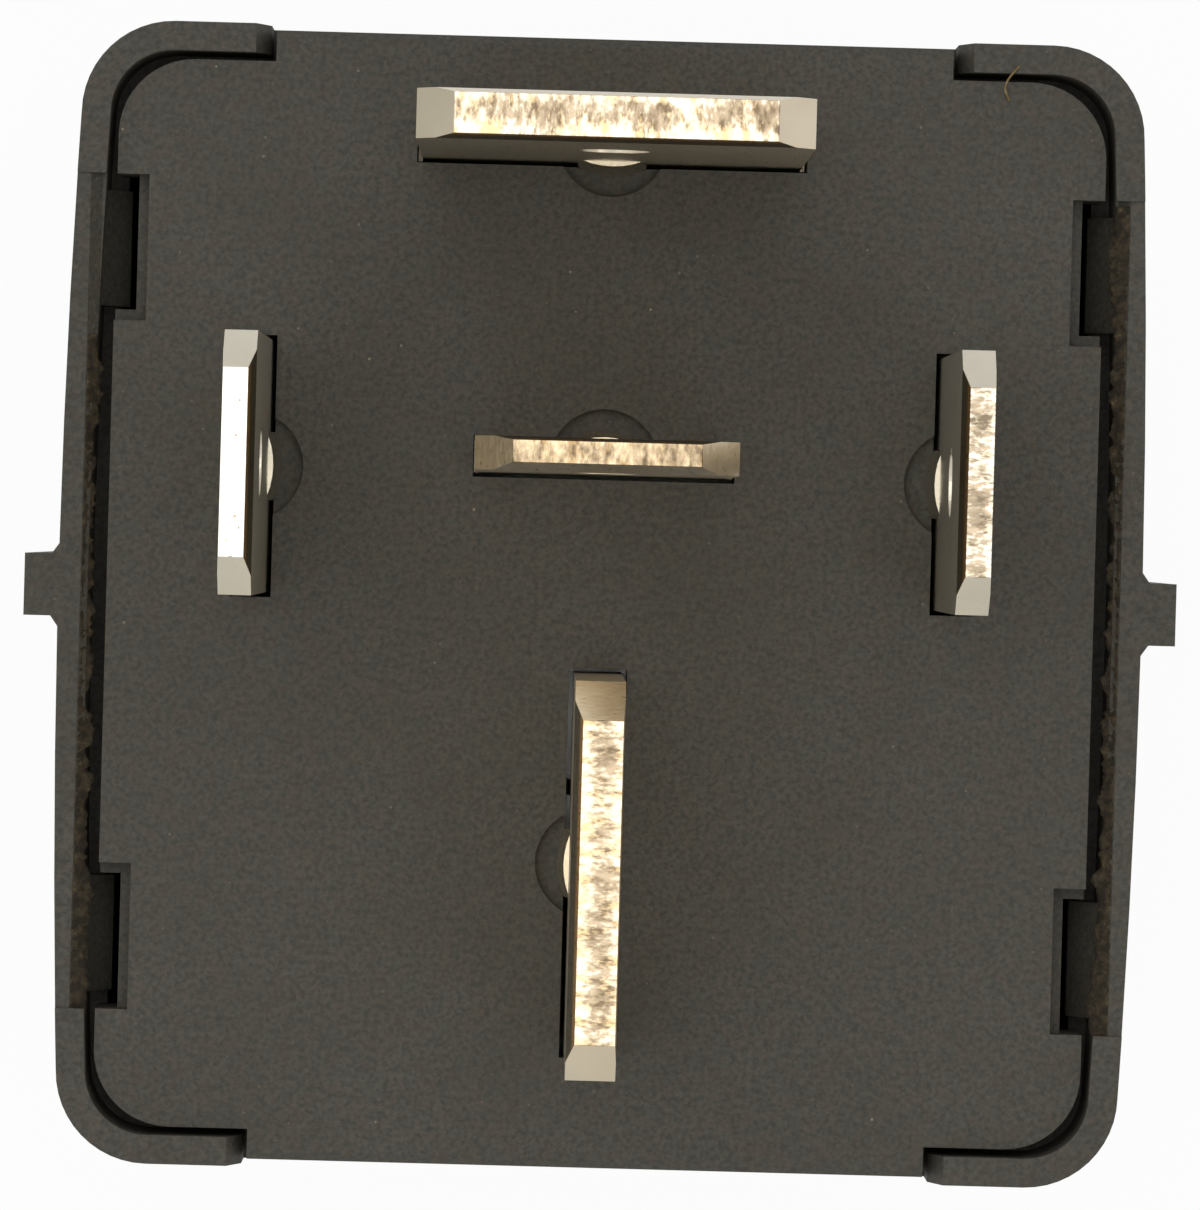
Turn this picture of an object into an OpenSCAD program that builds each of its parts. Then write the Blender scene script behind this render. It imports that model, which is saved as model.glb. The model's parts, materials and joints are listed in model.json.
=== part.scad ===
// Changeover automotive relay with five blade terminals, modelled standing on the closed end of its
// cover. +Z points along the blades, the origin is the centre of the cover's closed face.

/* [Cover] */
// Width of the cover at its corners, across the coil terminals
cover_w = 26.5; // [26:0.1:32]
// Depth of the cover, across the two wide terminals
cover_d = 28.5; // [28.2:0.1:34]
// Height of the cover from its closed face to its rim
cover_h = 25.3; // [24:0.1:32]
// Outer radius of the cover's upright corners
corner_r = 2.3; // [1.5:0.1:3]
// How far the two side walls bow outwards at the middle
side_bow = 0.27; // [0.1:0.01:0.5]
// Wall thickness beside the base plate
rim_wall = 0.72; // [0.6:0.01:0.9]
// Wall thickness below the base plate
wall = 1.1; // [1:0.05:1.4]
// Thickness of the closed end
floor_t = 1; // [0.8:0.1:1.4]
// Radius round the closed end
edge_r = 0.9; // [0.4:0.1:1.2]
// Width of the guide rib on each side wall
rib_w = 1.55; // [1:0.05:2.5]
// How far the guide rib stands out
rib_proud = 0.85; // [0.5:0.05:1.2]
// Height at which the guide rib starts
rib_z = 2.6; // [1.5:0.1:8]
// How far a latch lug stands out from the rim wall
lug_proud = 0.5; // [0.3:0.05:0.55]
// Length of a latch lug
lug_len = 2.9; // [2:0.1:3]

/* [Base] */
// Thickness of the base plate
base_t = 2.5; // [2:0.1:3]
// How far the base's outer face lies below the cover's rim
seat_recess = 0.3; // [0.1:0.05:0.6]
// Gap between the base plate and the rim wall
base_gap = 0.2; // [0.1:0.01:0.3]
// Corner radius of the base plate
base_r = 1.9; // [1:0.1:2.4]
// Width of the two flanges that fill the rim's cut-outs
flange_w = 16.9; // [14:0.1:18.6]
// How far a flange stays inside the cover's outer face
flange_inset = 0.16; // [0.1:0.02:0.4]
// Length of a latch pocket
pocket_len = 3.65; // [3.4:0.05:5]
// Distance between the two latch pockets on one side
pocket_pitch = 17.2; // [14:0.1:18]
// Depth of a latch pocket from the plate's edge
pocket_deep = 0.8; // [0.75:0.05:1]

/* [Blades] */
// How far the blades stand out of the base
blade_len = 11.6; // [9:0.1:14]
// Width of the two load blades
wide_w = 9.5; // [8:0.1:9.5]
// Thickness of the two load blades
wide_t = 1.2; // [0.8:0.05:1.3]
// Width of the coil blades and the rest-contact blade
slim_w = 6.3; // [4.8:0.1:6.3]
// Thickness of the coil blades and the rest-contact blade
slim_t = 0.8; // [0.6:0.05:0.9]
// Distance between the two coil blades
coil_pitch = 17.5; // [16.8:0.1:18]
// From the cover's end wall to the work-contact blade
work_in = 2.62; // [2.5:0.01:2.9]
// From the cover's other end wall to the common blade
common_in = 7.78; // [7.3:0.01:8.2]
// From the work-contact blade to the rest-contact blade
rest_pitch = 8; // [7.8:0.1:8.4]
// From the work-contact blade to the coil blades
coil_step = 8.4; // [8.2:0.1:8.8]
// Detent hole of a wide blade
wide_hole = 1.9; // [1.5:0.1:2.8]
// Detent hole of a slim blade
slim_hole = 1.8; // [1.2:0.1:2.2]
// From a blade's tip to its detent hole
hole_drop = 5.2; // [4:0.1:6]

/* [Magnet] */
// Sheet thickness of the yoke
yoke_t = 1.5; // [1.2:0.1:1.6]
// Width of the yoke
yoke_w = 13; // [12:0.1:13.4]
// Diameter of the core
core_d = 6; // [5:0.1:6.4]
// Diameter of the pole face
pole_d = 8.4; // [7:0.1:8.6]
// Thickness of the pole face
pole_t = 1; // [0.8:0.1:1.4]
// Width of the coil former's flanges
former_w = 15; // [14:0.1:15.2]
// Thickness of the coil former's flanges
flange_t = 0.9; // [0.7:0.1:1.2]
// How far the winding stays inside the former's flanges
winding_in = 0.4; // [0.2:0.1:1.2]
// Thickness of the armature
armature_t = 1.3; // [1:0.1:1.4]

/* [Contacts] */
// Travel of the moving contact
stroke = 0.9; // [0.6:0.05:1]
// Diameter of the contact heads
contact_d = 4; // [3:0.1:4.4]
// Thickness of a contact head
contact_t = 0.8; // [0.6:0.05:0.9]
// Thickness of the contact spring
spring_t = 0.3; // [0.2:0.05:0.4]
// Place of the contacts, measured in from the work-contact blade
contact_in = 3.2; // [3:0.1:3.6]
// Diameter of the flexible braid
braid_d = 1.5; // [1.2:0.1:1.6]

/* [Hidden] */
$fn = 96;

plastic = [0.24, 0.235, 0.21];
tin = [0.78, 0.75, 0.68];
steel = [0.62, 0.63, 0.64];
former_white = [0.85, 0.84, 0.8];
copper = [0.72, 0.38, 0.2];
bronze = [0.8, 0.6, 0.38];
silver = [0.86, 0.86, 0.85];

seat_gap = 0.05;       // between faces of two bodies that rest on each other
slot_gap = 0.12;       // round a blade in its slot
rivet_gap = 0.02;      // round a rivet in its hole
bore_gap = 0.1;        // round the core in the coil former
free_gap = 0.3;        // between pieces that must not touch
touch_gap = 0.04;      // left between closed contacts
residual_gap = 0.05;   // left between the armature and the pole face when pulled in
over = 1;              // how far a cutter runs past what it cuts

// Heights, from the blades down to the coil
z_seat = cover_h - seat_recess;
z_tip = z_seat + blade_len;
z_in = z_seat - base_t;
z_ledge = z_in - seat_gap;
z_yoke = z_in - wide_t - 0.2;
z_yoke_in = z_yoke - yoke_t;

// Heights, from the closed end up to the coil, with the armature pulled in
z_arm = floor_t + 0.4;
z_rest_face = z_arm + slim_t + contact_t;
z_spring = z_rest_face + touch_gap + stroke + contact_t;
z_plate = z_spring + spring_t;
z_plate_top = z_plate + armature_t;
z_pole = z_plate_top + residual_gap;
z_former = z_pole + pole_t;
z_work_face = z_plate + contact_t + touch_gap;
z_tab = z_work_face + contact_t;

// Places across the part
half_w = cover_w / 2;
half_d = cover_d / 2;
rim_x = half_w - rim_wall;
rim_y = half_d - rim_wall;
in_x = half_w - wall;
in_y = half_d - wall;
base_w = 2 * (rim_x - base_gap);
base_d = 2 * (rim_y - base_gap);
flange_d = 2 * (half_d - flange_inset);
coil_x = coil_pitch / 2;
work_y = half_d - work_in;
rest_y = work_y - rest_pitch;
coil_y = work_y - coil_step;
common_y = common_in - half_d;
contact_y = work_y - contact_in;
tab_y = contact_y - 2.4;                    // free end of the work-contact terminal's tab

// The magnet fills the depth between the return spring and the work-contact terminal's tab
spring_room = 2.15;                         // from the cover's inner face to the yoke
yoke_y = spring_room - in_y;                // outer face of the yoke's upright leg
pivot_y = yoke_y + yoke_t / 2;
former_gap = 0.4;                           // from the yoke's upright leg to the coil former
former_y = yoke_y + yoke_t + former_gap;
former_d = tab_y - 1.53 - former_y;
winding_d = former_d - 2 * winding_in;
core_y = former_y + former_d / 2;
knife_r = yoke_t / 2 - 0.05;
pivot_z = z_plate_top + 0.35;
open_angle = asin(stroke / (contact_y - pivot_y));
hook_y = yoke_y - 1.1;                      // axis of the return spring
lug_z = (z_yoke_in + z_former) / 2 + 1.6;   // lug that holds the return spring on the yoke

// ---------- general shapes ----------

module rounded_plate(w, d, r) {
    square([w - 2 * r, d], center = true);
    square([w, d - 2 * r], center = true);
    for (x = [-1, 1], y = [-1, 1])
        translate([x * (w / 2 - r), y * (d / 2 - r)]) circle(r);
}

// A rounded plate whose two long sides bow outwards
module bowed_plate(w, d, r, bow) {
    run = d / 2 - r;
    bow_r = (run * run + bow * bow) / (2 * bow);
    rounded_plate(w, d, r);
    for (side = [0, 180])
        rotate(side) intersection() {
            translate([w / 2 + bow - bow_r, 0]) circle(bow_r, $fn = 720);
            translate([0, -run]) square([w / 2 + bow, 2 * run]);
        }
}

// Sheet folded at a right angle. Leg a runs along +X and leg b along +Z from the outer corner,
// and the fold is centred on Y.
module fold(a, b, t, w, inner_r) {
    outer_r = inner_r + t;
    translate([0, w / 2, 0]) rotate([90, 0, 0]) linear_extrude(w) {
        translate([outer_r, 0]) square([a - outer_r, t]);
        translate([0, outer_r]) square([t, b - outer_r]);
        intersection() {
            translate([outer_r, outer_r]) difference() {
                circle(outer_r);
                circle(inner_r);
            }
            square(outer_r);
        }
    }
}

module block(x, y, z) {
    translate([x[0], y[0], z[0]]) cube([x[1] - x[0], y[1] - y[0], z[1] - z[0]]);
}

// A wire or braid swept along points, as one closed mesh
function unit(v) = v / norm(v);
function tangent(p, i) = unit(p[min(i + 1, len(p) - 1)] - p[max(i - 1, 0)]);
function square_to(v, t) = unit(v - (v * t) * t);
function normals(p, first) =
    [for (i = 0, n = square_to(first, tangent(p, 0)); i < len(p);
          i = i + 1, n = square_to(n, tangent(p, min(i, len(p) - 1)))) n];
function ring(p, n, t, r, sides) =
    [for (k = [0:sides - 1]) p + r * (cos(360 * k / sides) * n + sin(360 * k / sides) * cross(t, n))];

module wire(path, r, sides = 6, first = [0.31, 0.17, 0.93]) {
    n = normals(path, first);
    last = len(path) - 1;
    points = [for (i = [0:last]) each ring(path[i], n[i], tangent(path, i), r, sides)];
    skin = [for (i = [0:last - 1], k = [0:sides - 1]) let (m = (k + 1) % sides)
        each [[i * sides + k, i * sides + m, (i + 1) * sides + k],
              [i * sides + m, (i + 1) * sides + m, (i + 1) * sides + k]]];
    caps = [[for (k = [sides - 1:-1:0]) k], [for (k = [0:sides - 1]) last * sides + k]];
    polyhedron(points, [for (f = concat(skin, caps)) [for (k = [len(f) - 1:-1:0]) f[k]]], convexity = 8);
}

// Smooth curve through points
function curve_at(a, b, c, d, t) =
    0.5 * (2 * b + (c - a) * t + (2 * a - 5 * b + 4 * c - d) * t * t + (3 * b - a - 3 * c + d) * t * t * t);
function curve(p, steps) = let (n = len(p), q = concat([2 * p[0] - p[1]], p, [2 * p[n - 1] - p[n - 2]]))
    concat([for (i = [0:n - 2], j = [0:steps - 1]) curve_at(q[i], q[i + 1], q[i + 2], q[i + 3], j / steps)],
           [p[n - 1]]);

// The armature and what it carries are drawn pulled in, and this swings them to their rest place
module released() {
    translate([0, pivot_y, pivot_z]) rotate([-open_angle, 0, 0])
        translate([0, -pivot_y, -pivot_z]) children();
}
function released_point(p) = let (y = p[1] - pivot_y, z = p[2] - pivot_z)
    [p[0], pivot_y + y * cos(open_angle) + z * sin(open_angle),
     pivot_z - y * sin(open_angle) + z * cos(open_angle)];

// ---------- cover ----------

notch_chamfer = 0.35;
flange_gap = 0.15;     // each side of a base flange in its cut-out
lead_in = 0.28;        // chamfer inside the rim between the latch pockets
mid_step = 0.1;        // the rim between the latch pockets is lower by this much
rib_y = 0.13;
rib_root = 0.26;       // chamfer where a rib meets the wall
mid_len = pocket_pitch + pocket_len;
mouth_x = rim_x + side_bow;

module cover_body() {
    intersection() {
        linear_extrude(cover_h) bowed_plate(cover_w, cover_d, corner_r, side_bow);
        closed_end(half_w + side_bow, cover_d);
        rotate(90) closed_end(half_d, cover_w + 2 * side_bow);
    }
}

// Slab along Y whose two lower edges are rounded
module closed_end(half, length) {
    translate([0, length / 2 + over, 0]) rotate([90, 0, 0]) linear_extrude(length + 2 * over) {
        translate([-half, edge_r]) square([2 * half, cover_h]);
        translate([edge_r - half, 0]) square([2 * (half - edge_r), cover_h]);
        for (x = [-1, 1]) translate([x * (half - edge_r), edge_r]) circle(edge_r);
    }
}

// Guide rib on the +X side, with chamfers where it meets the wall and a sloping lower end
module guide_rib() {
    foot = half_w + side_bow;
    tip = foot + rib_proud;
    translate([0, rib_y, 0]) intersection() {
        linear_extrude(cover_h) polygon([
            [half_w - rim_wall / 2, -rib_w / 2 - rib_root], [foot, -rib_w / 2 - rib_root],
            [foot + rib_root * 0.7, -rib_w / 2], [tip, -rib_w / 2], [tip, rib_w / 2],
            [foot + rib_root * 0.7, rib_w / 2], [foot, rib_w / 2 + rib_root],
            [half_w - rim_wall / 2, rib_w / 2 + rib_root]]);
        translate([0, rib_w, 0]) rotate([90, 0, 0]) linear_extrude(2 * rib_w) polygon([
            [half_w - wall, rib_z], [foot, rib_z], [tip, rib_z + 2 * rib_proud], [tip, cover_h],
            [half_w - wall, cover_h]]);
    }
}

// Latch lug on the +X side: it stands on the ledge and leans back towards its top
module latch_lug() {
    root = mouth_x + rim_wall / 3;
    tip = rim_x - lug_proud;
    translate([0, lug_len / 2, 0]) rotate([90, 0, 0]) linear_extrude(lug_len) polygon([
        [root, z_ledge - 0.5], [in_x, z_ledge - 0.5], [tip, z_ledge], [tip, z_ledge + 0.6],
        [root, z_seat - 0.3]]);
}

module cover() color(plastic) {
    difference() {
        union() {
            cover_body();
            for (side = [0, 1]) mirror([side, 0, 0]) guide_rib();
        }
        translate([0, 0, floor_t])
            linear_extrude(cover_h) rounded_plate(2 * in_x, 2 * in_y, corner_r - wall / 2);
        translate([0, 0, z_ledge])
            linear_extrude(cover_h) bowed_plate(2 * rim_x, 2 * rim_y, corner_r - rim_wall, side_bow);
        for (side = [0, 180]) rotate(side) {
            rim_cutout();
            side_lead_in();
        }
    }
    for (side = [0, 1], end = [-1, 1])
        mirror([side, 0, 0]) translate([0, end * pocket_pitch / 2, 0]) latch_lug();
}

// Cut-out in the rim for a base flange, wider at the top
module rim_cutout() {
    half = flange_w / 2 + flange_gap;
    top = cover_h + over;
    translate([0, half_d + over, 0]) rotate([90, 0, 0]) linear_extrude(rim_wall + wall + over) polygon([
        [-half, z_ledge], [half, z_ledge], [half, cover_h - 3 * notch_chamfer],
        [half + notch_chamfer, cover_h], [half + notch_chamfer, top], [-half - notch_chamfer, top],
        [-half - notch_chamfer, cover_h], [-half, cover_h - 3 * notch_chamfer]]);
}

// Lower rim with a lead-in chamfer along the middle of the +X wall
module side_lead_in() {
    top = cover_h - mid_step;
    translate([0, mid_len / 2, 0]) rotate([90, 0, 0]) linear_extrude(mid_len) polygon([
        [rim_x - over, top - 2 * lead_in], [rim_x + side_bow * 0.6, top - lead_in],
        [rim_x + side_bow * 0.6 + lead_in, top], [half_w + rib_proud + over, top],
        [half_w + rib_proud + over, cover_h + over], [rim_x - over, cover_h + over]]);
}

// ---------- blades ----------

z_root = z_in - 0.3;
bevel_w = 0.92;        // lead-in bevels at both edges of a blade's tip
bevel_h = 1.2;
edge_h = 0.6;          // lead-ins on the faces of the tip, each cut a share of the thickness:
wide_cuts = [0.09, 0.1];       // on the boss side and on the plain side
rest_cuts = [0.11, 0.24];
rolled_cuts = [0.17, 0.03];    // blades rolled over on the boss side alone
coil_cuts = [0.22, 0.03];
recess_r = 1.37;       // recess in the base for the boss on each blade
recess_back = 0.52;    // its centre lies this far behind the blade's face
recess_deep = 0.35;
boss_back = 1.9;       // centre of the boss's round, behind the blade's face
boss_foot = 0.3;       // how far the boss stands out at the recess's floor
boss_head = 0.14;      // how far it stands out at its top
boss_half = 0.85;
boss_top = 1.1;

// Blade with its width along X and its boss towards +Y
module blade(w, t, hole_d, cuts) {
    difference() {
        intersection() {
            translate([0, t, 0]) rotate([90, 0, 0]) linear_extrude(2 * t) polygon([
                [-w / 2, z_root], [w / 2, z_root], [w / 2, z_tip - bevel_h], [w / 2 - bevel_w, z_tip],
                [bevel_w - w / 2, z_tip], [-w / 2, z_tip - bevel_h]]);
            translate([-w / 2, 0, 0]) rotate([90, 0, 90]) linear_extrude(w) polygon([
                [-t / 2, z_root], [t / 2, z_root], [t / 2, z_tip - edge_h],
                [t / 2 - cuts[0] * t, z_tip], [cuts[1] * t - t / 2, z_tip], [-t / 2, z_tip - edge_h]]);
        }
        translate([0, 0, z_tip - hole_drop]) rotate([90, 0, 0])
            cylinder(h = 4 * t, d = hole_d, center = true);
    }
    intersection() {
        translate([0, t / 2 - boss_back, z_seat - recess_deep])
            cylinder(h = recess_deep + boss_top, r1 = boss_back + boss_foot, r2 = boss_back + boss_head);
        boss_side(boss_half, t);
    }
}

// Space on the side of a blade that its boss points to
module boss_side(half, t) {
    block([-half, half], [0, t + recess_r], [z_in, z_tip]);
}

// Shoulder that stops a blade against the base's inner face
module shoulder(x, t, drop) {
    block(x, [-t / 2, t / 2], [z_in - drop, z_in]);
}

module blade_slot(w, t) {
    block([-w / 2 - slot_gap, w / 2 + slot_gap], [-t / 2 - slot_gap, t / 2 + slot_gap],
          [z_in - over, z_seat + over]);
    intersection() {
        translate([0, t / 2 - recess_back, z_seat - recess_deep])
            cylinder(h = recess_deep + over, r = recess_r);
        boss_side(recess_r, t);
    }
}

// Where each blade stands, and which way its boss points
module at_work() translate([0, work_y, 0]) rotate(180) children();
module at_rest() translate([0, rest_y, 0]) children();
module at_common() translate([0, common_y, 0]) rotate(90) children();
module at_coil_right() translate([coil_x, coil_y, 0]) rotate(90) children();
module at_coil_left() translate([-coil_x, coil_y, 0]) rotate(-90) children();

// ---------- base ----------

ledge_w = 0.28;        // step along the inner side of a latch pocket
ledge_drop = 0.7;
edge_chamfer = 0.18;
guide_t = 0.8;
guide_x = wide_w / 2 + 0.6 + slot_gap;

module base_outline() {
    rounded_plate(base_w, base_d, base_r);
    square([flange_w, flange_d], center = true);
}

// Pocket on the +X side: open right through, with a step along its inner side and one end
module latch_pocket(end) {
    inner = base_w / 2 - pocket_deep;
    block([inner + ledge_w, half_w], [-pocket_len / 2 + (end > 0 ? ledge_w : 0),
          pocket_len / 2 - (end < 0 ? ledge_w : 0)], [z_in - over, z_seat + over]);
    block([inner, half_w], [-pocket_len / 2, pocket_len / 2], [z_seat - ledge_drop, z_seat + over]);
}

// Chamfer along the outer edge of the flange on the +Y side
module flange_edge() {
    y = flange_d / 2;
    translate([-flange_w / 2 - over, 0, 0]) rotate([90, 0, 90]) linear_extrude(flange_w + 2 * over)
        polygon([[y - edge_chamfer, z_seat], [y, z_seat - edge_chamfer], [y + over, z_seat - edge_chamfer],
                 [y + over, z_seat + over], [y - edge_chamfer, z_seat + over]]);
}

// Pads that carry the yoke, and guides beside the work-contact terminal
module base_inside() {
    pad = 2.6;
    x = yoke_w / 2 - 0.2;
    for (side = [0, 1]) mirror([side, 0, 0]) {
        block([x - pad, x], [core_y + 0.5, core_y + 0.5 + 2 * pad], [z_yoke, z_in]);
        block([guide_x, guide_x + guide_t], [work_y - wide_t, work_y + wide_t / 2], [z_in - 4, z_in]);
    }
    block([x - pad, x], [foot_y - pad, foot_y + pad], [z_yoke, z_in]);
}

module base() color(plastic) difference() {
    union() {
        translate([0, 0, z_in]) linear_extrude(base_t) base_outline();
        base_inside();
    }
    for (side = [0, 1], end = [-1, 1])
        mirror([side, 0, 0]) translate([0, end * pocket_pitch / 2, 0]) latch_pocket(end);
    for (side = [0, 180]) rotate(side) flange_edge();
    at_work() blade_slot(wide_w, wide_t);
    at_rest() blade_slot(slim_w, slim_t);
    at_common() blade_slot(wide_w, wide_t);
    at_coil_right() blade_slot(slim_w, slim_t);
    at_coil_left() blade_slot(slim_w, slim_t);
}

// ---------- terminals ----------

strip_half = 4.5;      // half width of the work-contact terminal inside
tab_len = work_y - tab_y;
riser_x = in_x - 0.9;  // outer face of the rest-contact terminal's riser
riser_y = coil_y + slim_w / 2 + 0.5;
riser_w = min(contact_y + 1.9, work_y - wide_t / 2 - 0.6) - riser_y;
head_r = core_d / 2 - 0.3;                  // riveted end of the core, on the yoke
foot_end = yoke_y + 0.13;
foot_w = core_y - head_r - 0.87 - foot_end;
foot_y = foot_end + foot_w / 2;
foot_len = coil_x - 0.3;
rivet_d = 1.8;
post_w = 1.2;          // coil post that the lead is wound on
z_post = z_yoke_in - flange_t - 1.8;

module terminal_87() color(tin) {
    at_work() {
        blade(wide_w, wide_t, wide_hole, wide_cuts);
        shoulder([-wide_w / 2 - 0.6, wide_w / 2 + 0.6], wide_t, 1.5);
    }
    outer = work_y + wide_t / 2;
    difference() {
        translate([0, outer, z_tab]) rotate(-90) fold(tab_len + wide_t, z_in - z_tab, wide_t, 2 * 3, 0.5);
        contact_hole(z_tab);
    }
    block([-strip_half, strip_half], [work_y - wide_t / 2, outer], [z_in - 3.6, z_in - 1]);
}

module contact_hole(z) {
    translate([0, contact_y, z - over]) cylinder(h = wide_t + 2 * over, r = contact_d / 4 + rivet_gap);
}

module terminal_87a() color(tin) {
    plate_z = z_in - 0.3;
    fold_r = 0.3;
    at_rest() {
        blade(slim_w, slim_t, slim_hole, rest_cuts);
        shoulder([-slim_w / 2 - 0.5, slim_w / 2 + 0.5], slim_t, 0.5);
    }
    y_end = riser_y + riser_w;
    translate([0, rest_y - slim_t / 2, plate_z - slim_t]) rotate(90)
        fold(y_end - rest_y + slim_t / 2, slim_t + fold_r + 0.3, slim_t, slim_w, fold_r);
    half_z = (plate_z + z_arm) / 2;
    translate([riser_x, riser_y + riser_w / 2, 0]) {
        translate([0, 0, plate_z]) rotate([0, 180, 0])
            fold(riser_x + slim_w / 2, plate_z - half_z, slim_t, riser_w, fold_r);
        difference() {
            translate([0, 0, z_arm]) mirror([1, 0, 0])
                fold(riser_x + 2.7, half_z - z_arm, slim_t, riser_w, fold_r);
            translate([-riser_x, -riser_y - riser_w / 2, 0]) contact_hole(z_arm);
        }
    }
}

module terminal_30() color(tin) {
    at_common() blade(wide_w, wide_t, wide_hole, rolled_cuts);
    difference() {
        union() {
            translate([wide_t / 2, foot_y, z_yoke]) mirror([1, 0, 0])
                fold(foot_len + wide_t / 2, z_in - z_yoke + 0.5, wide_t, foot_w, 0.15);
            block([-wide_t / 2, wide_t / 2], [foot_y - foot_w / 2 - 0.9, foot_y], [z_in - 0.8, z_in]);
        }
        at_foot_rivets() cylinder(h = 2 * wide_t + 2 * over, r = rivet_d / 2 + rivet_gap, center = true);
    }
}

module at_foot_rivets() {
    for (place = [0.3, 0.74]) translate([-place * yoke_w / 2, foot_y, z_yoke]) children();
}

module foot_rivets() color(steel)
    at_foot_rivets() translate([0, 0, -yoke_t]) cylinder(h = yoke_t + wide_t, d = rivet_d);

// Coil terminal with its shoulder and, below it, the post for the coil's lead
module coil_terminal() {
    blade(slim_w, slim_t, slim_hole, coil_cuts);
    shoulder([-slim_w / 2, slim_w / 2], slim_t, 1.1);
    block([-post_w / 2, post_w / 2], [-slim_t / 2, slim_t / 2], [z_post, z_in - 1]);
}
module terminal_85() color(tin) at_coil_right() coil_terminal();
module terminal_86() color(tin) at_coil_left() coil_terminal();

// ---------- magnet ----------

ear_in = 0.3;          // gap between the armature's neck and the yoke's ears
ear_w = 1.7;
hook_hole = 0.9;
yoke_past = 5.3;       // how far the yoke's top leg reaches past the core's axis
wire_r = 0.15;

module yoke() color(steel) difference() {
    inner = yoke_w / 2 - ear_w;
    union() {
        translate([0, yoke_y, z_yoke]) rotate(90) mirror([0, 0, 1])
            fold(core_y + yoke_past - yoke_y, z_yoke - pivot_z, yoke_t, yoke_w, former_gap);
        translate([-inner, pivot_y, pivot_z]) rotate([0, 90, 0]) cylinder(h = 2 * inner, r = knife_r);
        for (side = [0, 1]) mirror([side, 0, 0])
            block([inner, yoke_w / 2], [yoke_y, yoke_y + yoke_t], [z_plate, pivot_z + yoke_t]);
        block([-1.2, 1.2], [hook_y - 0.75, yoke_y + 0.5], [lug_z, lug_z + 0.8]);
    }
    translate([0, core_y, z_yoke_in - over]) cylinder(h = yoke_t + 2 * over, r = core_d / 3 + rivet_gap);
    at_foot_rivets() cylinder(h = 2 * yoke_t + 2 * over, r = rivet_d / 2 + rivet_gap, center = true);
    translate([0, hook_y, lug_z]) cylinder(h = 2 * over, d = hook_hole, center = true);
    block([-1.4, 1.4], [yoke_y - over, yoke_y + yoke_t + over], [lug_z + 0.8, lug_z + 2.4]);
}

head_h = 0.45;

// Turned core: pole face, shank, and the end that is riveted over the yoke
module core() color(steel) translate([0, core_y, 0]) rotate_extrude() polygon([
    [0, z_pole], [pole_d / 2 - 0.2, z_pole], [pole_d / 2, z_pole + 0.2], [pole_d / 2, z_former],
    [core_d / 2, z_former], [core_d / 2, z_yoke_in], [core_d / 3, z_yoke_in], [core_d / 3, z_yoke],
    [head_r, z_yoke], [head_r - 0.4, z_yoke + head_h], [0, z_yoke + head_h]]);

tube_wall = 0.7;
tube_r = core_d / 2 + bore_gap + tube_wall;

module coil_former() color(former_white) {
    top = z_yoke_in - flange_t;
    ear = coil_x + slim_t / 2 + 0.9;
    difference() {
        union() {
            for (z = [z_former, top]) translate([0, core_y, z])
                linear_extrude(flange_t) rounded_plate(former_w, former_d, 1);
            translate([0, core_y, z_former]) cylinder(h = z_yoke_in - z_former, r = tube_r);
            block([-ear, ear], [coil_y - 1.7, coil_y + 1.7], [top, z_yoke_in]);
        }
        translate([0, core_y, z_former - over])
            cylinder(h = z_yoke_in - z_former + 2 * over, r = core_d / 2 + bore_gap);
        for (side = [0, 1]) mirror([side, 0, 0]) translate([coil_x, coil_y, 0])
            block([-slim_t / 2 - slot_gap, slim_t / 2 + slot_gap],
                  [-post_w / 2 - slot_gap, post_w / 2 + slot_gap], [top - over, z_yoke_in + over]);
    }
}

module coil_winding() color(copper) translate([0, core_y, z_former + flange_t]) difference() {
    h = z_yoke_in - z_former - 2 * flange_t;
    cylinder(h = h, d = winding_d);
    translate([0, 0, -over]) cylinder(h = h + 2 * over, r = tube_r);
}

// Lead from the winding to the coil post, wound three times round the post
lead_turns = 3;
wrap_r = norm([post_w, slim_t]) / 2 + wire_r;
function lead_path() = let (
    z = z_yoke_in - flange_t - 0.45,
    a = 48, r = winding_d / 2 + wire_r,
    start = [r * cos(a), core_y + r * sin(a), z],
    steps = 12 * lead_turns)
    concat([start, start + [0.35, 0.3, 0]],
           [for (i = [0:steps]) let (b = 180 - 360 * i / 12)
            [coil_x + wrap_r * cos(b), coil_y + wrap_r * sin(b), z - 0.36 * i / 12]]);
module coil_lead_start() color(copper) wire(lead_path(), wire_r);
module coil_lead_end() color(copper) mirror([1, 0, 0]) wire(lead_path(), wire_r);

// ---------- contacts ----------

dome_r = 3 * contact_d;

// Contact rivet with its domed head towards +Z, its shank and its upset end
module fixed_contact(sheet_t, upset) {
    intersection() {
        cylinder(h = contact_t, d = contact_d);
        translate([0, 0, contact_t - dome_r]) sphere(dome_r, $fn = 200);
    }
    translate([0, 0, -sheet_t]) cylinder(h = sheet_t + 0.1, r = contact_d / 4);
    translate([0, 0, -sheet_t - upset]) cylinder(h = upset, r1 = contact_d / 3 - 0.1, r2 = contact_d / 3);
}

module work_contact() color(silver)
    translate([0, contact_y, z_tab]) mirror([0, 0, 1]) fixed_contact(wide_t, 0.35);
module rest_contact() color(silver)
    translate([0, contact_y, z_arm + slim_t]) fixed_contact(slim_t, 0.2);

module moving_contact() color(silver) released() translate([0, contact_y, 0]) {
    translate([0, 0, z_spring - contact_t]) cylinder(h = contact_t, d = contact_d);
    translate([0, 0, z_plate]) cylinder(h = contact_t, d = contact_d);
    translate([0, 0, z_spring - 0.1]) cylinder(h = spring_t + 0.2, r = contact_d / 4);
}

// ---------- armature ----------

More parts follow.
